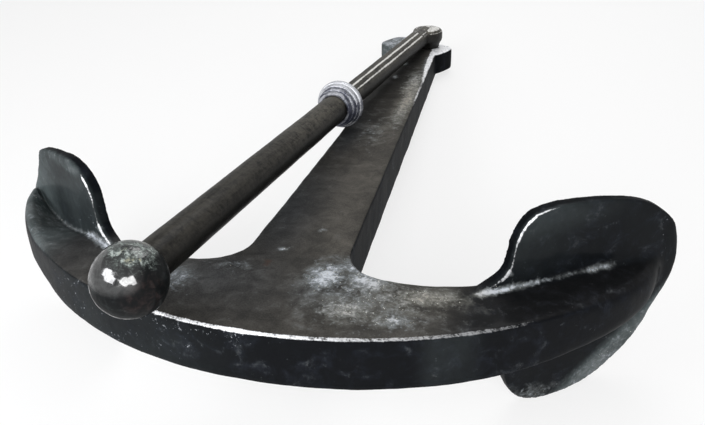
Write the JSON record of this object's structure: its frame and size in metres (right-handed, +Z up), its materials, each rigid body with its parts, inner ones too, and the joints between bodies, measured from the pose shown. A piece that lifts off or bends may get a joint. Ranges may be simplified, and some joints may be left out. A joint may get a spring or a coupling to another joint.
{
  "type": "stocked anchor",
  "caption": "Weathered iron stock anchor lying flat: curved arms with broad palms, tapered shank, and a folding cranked stock bar with collar and ball end.",
  "frame": {"origin": "on the ground under the middle of the bounding box", "axes": "+Z up from the ground that the anchor lies on, +Y along the shank from the crown towards the head, +X across the two arms"},
  "size_m": [1.36, 1.7846, 0.4704],
  "materials": {
    "painted_iron": "worn glossy near-black paint over forged iron, brown and grey weathering on the shank, pale salt crust in the corners",
    "bar_iron": "worn brown-grey forged iron, semi-gloss, bright along its ridges",
    "bare_steel": "turned steel rings, worn bright, bluish grey",
    "ball_iron": "near-black glossy paint with pale grey-green crust over the top"
  },
  "bodies": {
    "anchor": {"anchor_body": "painted_iron"},
    "stock": {"stock_bar": "bar_iron", "stock_collar": "bare_steel", "outer_ball": "ball_iron"}
  },
  "joints": [
    {"name": "stock_swivel", "type": "hinge", "parent": "anchor", "child": "stock", "pos_m": [0.0091, 0.78556, 0.04177], "axis": [0, 0.1368, 0.9906], "range_deg": [-7, 19.5]}
  ]
}
